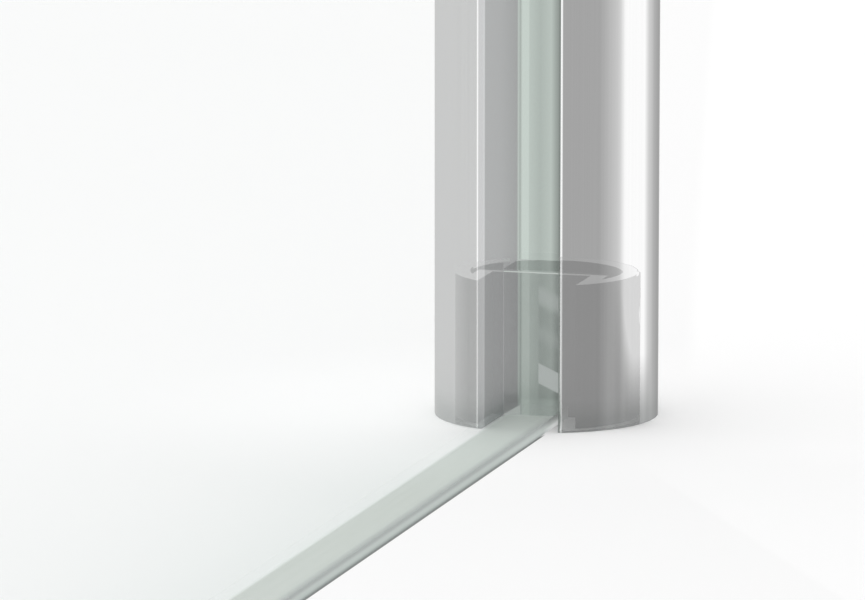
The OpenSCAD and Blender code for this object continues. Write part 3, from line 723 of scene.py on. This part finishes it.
def makeGlass(s):
    # The outline drawn in by the arris at both faces
    rows = []
    for inset, y in ((s.arris, s.front), (0.0, s.front - s.arris),
                     (0.0, s.back + s.arris), (s.arris, s.back)):
        outline = glassOutline(s, inset)
        rows.append(np.stack([outline[:, 0], np.full(len(outline), y), outline[:, 1]], -1))
    middle = rows[1]
    centre = (middle + np.roll(middle, -1, axis=0)) / 2
    # Green rim all round, but for the clear bottom and notch and the edge in the slot, which shows
    # painted light stripes
    kinds = np.full(len(middle), 2)
    kinds[centre[:, 2] < s.bottom + 1.5] = 0
    kinds[(centre[:, 0] < s.notchX + 2) & (centre[:, 2] < s.notchZ + 0.2)] = 0
    kinds[(centre[:, 0] < s.left + 1.2) & (centre[:, 2] > s.notchZ + 0.2)] = 1
    piece = Piece("glassSheet", "screen", "glass_panel")
    piece.solid(np.array(rows), kinds)
    made = piece.finish(makeGlassMaterials(s), "glass")
    made.visible_diffuse = made.visible_shadow = False  # clear: it takes no light from the floor


# The clear strip under the glass: a flat bed with a small round on its long edges

stripSettings = dict(
    left=2.6, right=852.8, back=-4.5, front=3.5, top=1.48,
    round=0.12, roundSteps=3, rows=(30.0, 120.0, 400.0),   # distances from its left end
    clear=((0.85, 0.93, 0.9), (0.9, 0.95, 0.93)),
    # Display levels of the bed, and of its tones: lighter close to the post (painted light),
    # lighter at its back and darker at its front
    bed=((200, 207, 201), (205, 211, 206)),
    bedTones=(("x", 60.0, 18.0, (214, 221, 216)), ("y", -3.9, -4.5, (230, 236, 233)),
              ("y", 0.3, 1.7, (172, 179, 177))),
    # Painted light (emission) on the bed near the post, at each x, and at its front edge
    byPost=[(2.0, (0.115, 0.12, 0.115)), (6.5, (0.11, 0.115, 0.11)),
            (9.56, (0.085, 0.09, 0.085)), (12.8, (0.04, 0.04, 0.04)), (20.0, (0, 0, 0))],
    edgeY=(0.2, 1.6), edgeX=(42.0, 14.0), edgeLight=(0.06, 0.062, 0.06, 1),
    # The front: display levels at each height, and painted light (emission) added to it near the
    # post
    height=1.5,
    frontTones=[(0.0, (156, 165, 162)), (0.375, (197, 206, 202)), (0.75, (199, 207, 203)),
                (1.125, (177, 183, 181))],
    frontLight=[(0.0, (0.44, 0.44, 0.44)), (0.375, (0.38, 0.38, 0.38)),
                (0.675, (0.18, 0.185, 0.18)), (1.5, (0.09, 0.095, 0.09))],
    lightFrom=(17.0, 9.5), lightTo=(6.6, 7.6), lightTail=(42.0, 14.0, 0.0, 0.22),
)


def makeStripMaterials(s):
    clear = Finish("clearStrip", Roughness=0.15, Alpha=0.05)
    clear.link("Base Color", clear.graph.cloudy(clear.graph.noise(clear.place, 0.05), *s.clear))
    bed = Finish("stripBed", Roughness=0.5, Specular_IOR_Level=0.2)
    graph = bed.graph
    streak = graph.noise(graph.stretched(bed.place, (0.01, 1.0, 1.0)), 1.2)
    tone = graph.cloudy(streak, *(fromScreen(*levels) for levels in s.bed))
    for axis, low, high, levels in s.bedTones:
        share = graph.scaled(getattr(bed, axis), low, high)
        tone = graph.blend(share, tone, (*fromScreen(*levels), 1))
    bed.link("Base Color", tone)
    nearEdge = graph.times(graph.scaled(bed.y, *s.edgeY), graph.scaled(bed.x, *s.edgeX))
    # Painted light on the bed as emission
    bed.glow(graph.blend(nearEdge, graph.tones(bed.x, s.byPost), s.edgeLight, "ADD"))
    front = Finish("stripFront", Roughness=0.4, Specular_IOR_Level=0.2)
    graph = front.graph
    stops = [(at, fromScreen(*levels)) for at, levels in s.frontTones]
    front.link("Base Color", graph.tones(front.z, stops, high=s.height))
    share = graph.times(graph.scaled(front.x, *s.lightFrom), graph.scaled(front.x, *s.lightTo))
    share = graph.most(share, graph.scaled(front.x, *s.lightTail))
    # Painted light on the front near the post
    front.glow(graph.blend(share, black, graph.tones(front.z, s.frontLight)))
    return clear.material, bed.material, front.material


def makeStrip(s):
    # Section: square on the floor, with a quarter round at each upper edge, carried along x
    r = s.round
    section, kinds = [(s.back, 0.0), (s.front, 0.0)], [1, 2]
    for y, inwards, first in ((s.front, -r, 0), (s.back, r, 90)):
        for turn in quarter(first, s.roundSteps):
            section.append((y + inwards + r * math.cos(turn), s.top - r + r * math.sin(turn)))
            kinds.append(0)
    section = np.array(section)
    along = np.array([s.left, *(s.left + row for row in s.rows), s.right])
    points = np.zeros((len(along), len(section), 3))
    points[:, :, 0] = along[:, None]
    points[:, :, 1:] = section[None]
    piece = Piece("beddingStrip", "screen", "bottom_strip")
    piece.solid(points, kinds)
    made = piece.finish(makeStripMaterials(s), "clear_seal")
    made.visible_diffuse = made.visible_shadow = False


makeGlass(named(glassSettings))
makeStrip(named(stripSettings))
print("glass and strip made")


# Gaskets: a flat side on the glass, fine ribs on the metal and a bead at the open end

gasketSettings = dict(
    depth=9.0, ribs=3, ribDepth=0.28, ribPoints=37, beadPoints=13,
    top=1999.6, rows=5,
    # node: piece, x where it starts, direction, lowest y, thickness, lowest z, glass below it
    places={
        "post_gasket_front": ("postSealRoom", 2.4236, 1, 3.5, 1.3, 70.0, True),
        "post_gasket_back": ("postSealFar", 2.4236, 1, -4.8, 0.3, 70.0, False),
        "wall_gasket_front": ("wallSealRoom", 851.8, -1, 3.5, 1.3, 0.0, True),
        "wall_gasket_back": ("wallSealFar", 851.8, -1, -4.8, 0.3, 0.0, False),
    },
)


def makeGasket(node, s):
    # Section: y = flat side + thickness x (1 - ribDepth x (1 + cos(2 pi ribs u)) / 2), with u from
    # 0 to 1 along it, closed by a half circle of the thickness, and carried straight up
    name, startX, direction, lowY, thick, lowZ, glassBelow = s.places[node]
    share = np.linspace(0, 1, s.ribPoints)
    wave = 1 - s.ribDepth * (1 + np.cos(2 * math.pi * s.ribs * share)) / 2
    wave = np.where(share > 0.99, 1.0, wave)
    flat = np.stack([share * s.depth, np.zeros_like(share)], -1)
    ribbed = np.stack([share * s.depth, thick * wave], -1)[::-1]
    turn = np.radians(np.linspace(-90, 90, s.beadPoints))[1:-1]
    bead = np.stack([s.depth + thick / 2 * np.cos(turn), thick / 2 * (1 + np.sin(turn))], -1)
    section = np.concatenate([flat, bead, ribbed])
    if not glassBelow:
        section[:, 1] = thick - section[:, 1]
    x = startX + direction * section[:, 0]
    y = lowY + section[:, 1]
    if (direction > 0) != glassBelow:
        x, y = x[::-1], y[::-1]
    piece = Piece(name, "screen", node)
    piece.solid(np.array([np.stack([x, y, np.full(len(x), z)], -1)
                          for z in np.linspace(lowZ, s.top, s.rows)]))
    piece.finish([clearSeal], "clear_seal")


for node in gasketSettings["places"]:
    makeGasket(node, named(gasketSettings))


# Packers: small pads with rounded corners and softened edges

packerSettings = dict(
    back=-4.5, front=3.5, height=60.0, lows=(70.0, 970.0, 1870.0),
    corner=1.6, edge=0.2, edgeMiddle=0.3, cornerSteps=6,
    # node: piece, lowest x, thickness
    places={"post_edge_packers": ("postPackers", -4.5, 0.8),
            "wall_edge_packers": ("wallPackers", 852.8, 3.0)},
)


def makePackers(node, s):
    # Rounded rectangle in y and z, drawn in at both faces, carried through its thickness
    edge, r = s.edge, s.corner
    name, lowX, thick = s.places[node]
    middle = edge * s.edgeMiddle
    easing = [(edge, 0.0), (middle, middle), (0.0, edge)]
    levels = [(inset, lowX + at) for inset, at in easing]
    levels += [(inset, lowX + thick - at) for inset, at in easing[::-1]]
    piece = Piece(name, "screen", node)
    for low in s.lows:
        high, front, back = low + s.height - r, s.front - r, s.back + r
        centres = ((front, high, 0), (back, high, 90), (back, low + r, 180), (front, low + r, 270))
        rows = []
        for inset, x in levels:
            points = []
            for y, z, first in centres:
                turn = quarter(first, s.cornerSteps)
                points.append(np.stack([np.full(len(turn), x), y + (r - inset) * np.cos(turn),
                                        z + (r - inset) * np.sin(turn)], -1))
            rows.append(np.concatenate(points))
        piece.solid(np.array(rows))
    piece.finish([clearSeal], "clear_seal")


for node in packerSettings["places"]:
    makePackers(node, named(packerSettings))
print("gaskets and packers made")


# Turned pieces: an outline of radius and distance carried round an axis

def eased(corners, steps=5):
    # Each corner (radius, distance, cut) becomes a curve from cut before it to cut after it:
    # (1 - t) squared x before + 2 t (1 - t) x corner + t squared x after
    corners = [corner if len(corner) == 3 else (*corner, 0.0) for corner in corners]
    points = []
    for i, (radius, distance, cutBack) in enumerate(corners):
        here = np.array([radius, distance])
        if not cutBack:
            points.append(here)
            continue
        before = np.array(corners[i - 1][:2]) - here
        after = np.array(corners[(i + 1) % len(corners)][:2]) - here
        before = here + before * cutBack / np.linalg.norm(before)
        after = here + after * cutBack / np.linalg.norm(after)
        for t in np.linspace(0, 1, steps + 1):
            points.append((1 - t) ** 2 * before + 2 * t * (1 - t) * here + t * t * after)
    return [tuple(point) for point in points]


def turnedPoints(rows, origin, along, columns, side=(1, 0, 0)):
    # point = origin + distance x along + radius x (cos(angle) side + sin(angle) third)
    along, side = np.array(along, float), np.array(side, float)
    third = np.cross(along, side)
    angle = np.linspace(0, 2 * math.pi, columns, endpoint=False)[:, None]
    ring = np.cos(angle) * side + np.sin(angle) * third
    radius = np.array([np.broadcast_to(radius, columns) for radius, distance in rows])
    distance = np.array([np.broadcast_to(distance, columns) for radius, distance in rows])
    return np.array(origin, float) + distance[..., None] * along + radius[..., None] * ring


def hexagon(radius, columns):
    # radius of a hexagon at each angle: its flats' distance over the cosine of the turn from them
    angle = np.degrees(np.linspace(0, 2 * math.pi, columns, endpoint=False)) % 60 - 30
    return radius * math.cos(math.radians(30)) / np.cos(np.radians(angle))


# Set screws, with a cup at the tip, a thread and a hexagon socket

turn = math.radians(40)     # how far the foot's two screws lie from the slot's line
screwSettings = dict(
    columns=48, pitch=0.7, threadDepth=0.22, rowsPerTurn=8, runOut=0.4,
    radius=2.0, hex=1.1, socket=0.4,   # the socket's share of the length
    cup=((0.9, 0.3), (1.0, 0.0), (1.35, 0.0)),   # radius and height over the tip
    # name: body, node, and the origin, direction, side, tip and top of each screw
    sets={
        "footSetScrews": ("screen", "foot_grub_screws", [
            ((0, 0, 11), (-math.cos(turn), side * math.sin(turn), 0), (0, 0, 1), 9.66, 13.7)
            for side in (-1, 1)]),
        "insertSetScrew": ("screen", "insert_grub_screw", [
            ((0, 0, 1980), (-1, 0, 0), (0, 0, 1), 6.1, 13.7)]),
        "knuckleSetScrews": ("brace_arm", "knuckle_grub_screws", [
            ((0, 0, braceLine), (-1, 0, 0), (0, 0, 1), 3.2, 13.7),
            ((0, -18, braceLine), (0, 0, -1), (1, 0, 0), 8.75, 11.7)]),
        "collarSetScrew": ("brace_arm", "collar_grub_screw", [
            ((0, -458, braceLine), (0, 0, -1), (1, 0, 0), 8.04, 12.2)]),
    },
)


def threadRows(radius, low, high, s):
    # radius less threadDepth x (1 - cos(2 pi distance / pitch - angle)) / 2, run out at both ends
    count = max(int((high - low) / s.pitch * s.rowsPerTurn), 4)
    angle = np.linspace(0, 2 * math.pi, s.columns, endpoint=False)
    rows = []
    for distance in np.linspace(low, high, count):
        fade = min(1.0, (distance - low) / s.runOut, (high - distance) / s.runOut)
        wave = (1 - np.cos(2 * math.pi * distance / s.pitch - angle)) / 2
        rows.append((radius - s.threadDepth * fade * wave, distance))
    return rows


def makeGrubs(name, s):
    r, socket = s.radius, hexagon(s.hex, s.columns)
    body, node, places = s.sets[name]
    piece = Piece(name, body, node)
    for origin, along, side, tip, top in places:
        floor = tip + (top - tip) * (1 - s.socket)
        rows = [(radius, tip + above) for radius, above in s.cup] + [(r - 0.15, tip + 0.45)]
        rows += threadRows(r - 0.02, tip + 0.55, top - 0.35, s)
        rows += [(r - 0.05, top - 0.3), (r - 0.32, top), (socket + 0.08, top), (socket, top - 0.08),
                 (socket, floor), (socket * 0.3, floor - 0.12)]
        piece.solid(turnedPoints(rows, origin, along, s.columns, side))
    piece.finish([screwSteel], "screw_metal")


for name in screwSettings["sets"]:
    makeGrubs(name, named(screwSettings))


# Button head screws that lock the wall profile's travel

profileScrewSettings = dict(
    x=877.7, face=-11.0, heights=(150.0, 1000.0, 1850.0),
    shaft=1.9, reach=4.5, head=3.6, headHeight=2.0, hex=1.8, socket=1.2,
    headWall=0.45, flat=0.25, domeSteps=7,   # the flat is the ring round the socket
)


def makeProfileScrews(s, threads):
    socket, tip, top = hexagon(s.hex, threads.columns), -s.reach, s.headHeight
    # The head: a low wall, then a quarter of an oval up to the flat round the socket
    low, flat = s.headWall, s.hex + s.flat
    dome = [(flat + (s.head - flat) * math.cos(t), low + (top - low) * math.sin(t))
            for t in np.linspace(0, math.pi / 2, s.domeSteps)]
    rows = [(1.0, tip), (1.5, tip + 0.3)] + threadRows(s.shaft - 0.02, tip + 0.4, -0.6, threads)
    rows += [(s.shaft, -0.5), (s.shaft, 0.0), (s.head - 0.15, 0.0), (s.head, 0.15)]
    rows += dome + [(socket + 0.1, top), (socket, top - 0.1), (socket, top - s.socket),
                    (socket * 0.3, top - s.socket - 0.2)]
    piece = Piece("profileLockScrews", "screen", "profile_screws")
    for high in s.heights:
        piece.solid(turnedPoints(rows, (s.x, s.face, high), (0, -1, 0), threads.columns))
    piece.finish([screwSteel], "screw_metal")


makeProfileScrews(named(profileScrewSettings), named(screwSettings))
print("screws made")


# The brace's turned pieces

collarSettings = dict(
    low=436.0, high=464.0, radius=12.5, bore=9.55, lipBore=8.0, lip=452.0,
    edge=1.3, boreCut=0.3, lipCut=0.4,
    flutes=40, fluteDepth=0.55, fluteLow=438.6, fluteHigh=454.4, runOut=1.4,
    fluteRows=25, columnsPerFlute=8,
    holeAt=458.0, holeRadius=2.06, holeFrom=7.0, holeTo=14.0, holeColumns=40,
)


def drill(made, points):
    # A hole cut through a finished piece's wall, with its mesh kept as the result
    cutter = Piece("holeCutter", "screen")
    cutter.solid(points)
    mesh = cutter.mesh()
    tool = bpy.data.objects.new("holeCutter", mesh)
    bpy.context.collection.objects.link(tool)
    bore = made.modifiers.new("bore", "BOOLEAN")
    bore.operation, bore.solver, bore.object = "DIFFERENCE", "EXACT", tool
    bpy.context.view_layer.update()
    cut = made.evaluated_get(bpy.context.evaluated_depsgraph_get())
    result = bpy.data.meshes.new_from_object(cut)
    made.modifiers.clear()
    before, made.data = made.data, result
    bpy.data.objects.remove(tool)
    for spent in (mesh, before):
        bpy.data.meshes.remove(spent)
    result.name = made.name
    result.set_sharp_from_angle(angle=sharpAngle)


def makeCollar(s):
    # radius = collar's radius - fluteDepth x (1 - cos(flutes x angle)) / 2, run out smoothly at
    # both ends of the fluted band
    columns = s.flutes * s.columnsPerFlute
    angle = np.linspace(0, 2 * math.pi, columns, endpoint=False)
    wave = (1 - np.cos(s.flutes * angle)) / 2
    outline = eased([(s.bore, s.low, s.boreCut), (s.radius, s.low, s.edge),
                     (s.radius, s.high, s.edge), (s.lipBore, s.high, s.lipCut),
                     (s.lipBore, s.lip), (s.bore, s.lip)])
    turned = []
    for radius, distance in outline:
        turned.append((radius, distance))
        if radius > s.radius - 1e-6 and abs(distance - s.low - s.edge) < 1e-6:
            for at in np.linspace(s.fluteLow, s.fluteHigh, s.fluteRows):
                ends = min((at - s.fluteLow) / s.runOut, (s.fluteHigh - at) / s.runOut, 1.0)
                share = math.sin(ends * math.pi / 2) ** 2
                turned.append((s.radius - s.fluteDepth * share * wave, at))
    piece = Piece("lockCollar", "brace_arm", "lock_collar")
    piece.grid(turnedPoints(turned, (0, 0, braceLine), (0, -1, 0), columns), ring=True)
    made = piece.finish([fittingMetal], "brace_metal")
    hole = [(s.holeRadius, s.holeFrom), (s.holeRadius, s.holeTo)]
    drill(made, turnedPoints(hole, (0, -s.holeAt, braceLine), (0, 0, -1), s.holeColumns))


roseSettings = dict(
    front=890.0, wall=900.0, rim=27.2, thick=1.2, bore=8.06, columns=128,
    lipRadius=10.2, lipStep=0.7, crown=6.6, innerCrown=0.92, power=2.8, steps=22,
    # steps of radius and distance round the bore, over the lip and round the rim at the wall
    boreEdge=((0.0, 0.35), (0.1, 0.1), (0.35, 0.0)),
    lipEdge=((-0.25, 0.0), (0.05, 0.12), (0.2, 0.4), (0.4, 0.62)),
    rimEdge=((0.0, -0.3), (-0.1, -0.08), (-0.35, 0.0)), rimInside=0.1,
)


def makeRose(s):
    # Crown: radius = start + reach x sin(t) to the power 2/n, distance = front + crown x
    # (1 - cos(t) to the power 2/n), with t from 0 to a quarter turn
    t = np.linspace(0, math.pi / 2, s.steps)
    rise, fall = np.sin(t) ** (2 / s.power), 1 - np.cos(t) ** (2 / s.power)
    start, inRim, base = s.lipRadius + s.lipStep, s.rim - s.thick, s.front + s.lipStep
    outer = list(zip(start + (s.rim - start) * rise, base + s.crown * fall))
    inner = list(zip(s.bore + (inRim - s.bore) * rise,
                     base + s.thick + s.crown * s.innerCrown * fall))
    lip = [(s.bore + out, s.front + on) for out, on in s.boreEdge]
    lip += [(s.lipRadius + out, s.front + on) for out, on in s.lipEdge]
    rim = [(s.rim + out, s.wall + on) for out, on in s.rimEdge]
    rim.append((inRim + s.rimInside, s.wall))
    piece = Piece("coverRose", "rose", "cover_rose")
    piece.grid(turnedPoints(lip + outer + rim + inner[::-1], (0, 0, braceLine), (0, -1, 0),
                            s.columns), ring=True)
    piece.finish([fittingMetal], "brace_metal")


washerSettings = dict(
    bore=4.1, radius=13.4, low=2008.0, high=2009.0, boreCut=0.15, rimCut=0.3, columns=96,
)


def makeWasher(s):
    outline = eased([(s.bore, s.low, s.boreCut), (s.radius, s.low, s.rimCut),
                     (s.radius, s.high, s.rimCut), (s.bore, s.high, s.boreCut)])
    piece = Piece("swivelWasher", "screen", "swivel_washer")
    piece.grid(turnedPoints(outline, (0, 0, 0), (0, 0, 1), s.columns), ring=True)
    piece.finish([darkNylon], "nylon")


pinSettings = dict(
    y=-856.0, columns=64,
    shaft=[(2.2, -8.0), (2.7, -7.9), (3.0, -7.4), (3.0, 8.0), (4.3, 8.0), (4.5, 8.2)],
    headRadius=4.5, domeReach=3.1, domeLow=8.5, domeHeight=0.9, domeSteps=7,
    top=(1.2, 9.4),
)


def makeBracketPin(s):
    # A plain shaft with a small lead, and a low head whose dome is a quarter of an oval
    head = [(s.headRadius - s.domeReach * (1 - math.cos(t)),
             s.domeLow + s.domeHeight * math.sin(t)) for t in quarter(0, s.domeSteps)[:-1]]
    piece = Piece("bracketPin", "wall_bracket", "clevis_pin")
    piece.solid(turnedPoints(s.shaft + head + [s.top], (0, s.y, braceLine), (0, 0, 1),
                             s.columns))
    piece.finish([screwSteel], "screw_metal")


makeCollar(named(collarSettings))
makeRose(named(roseSettings))
makeWasher(named(washerSettings))
makeBracketPin(named(pinSettings))
print("brace pieces made")
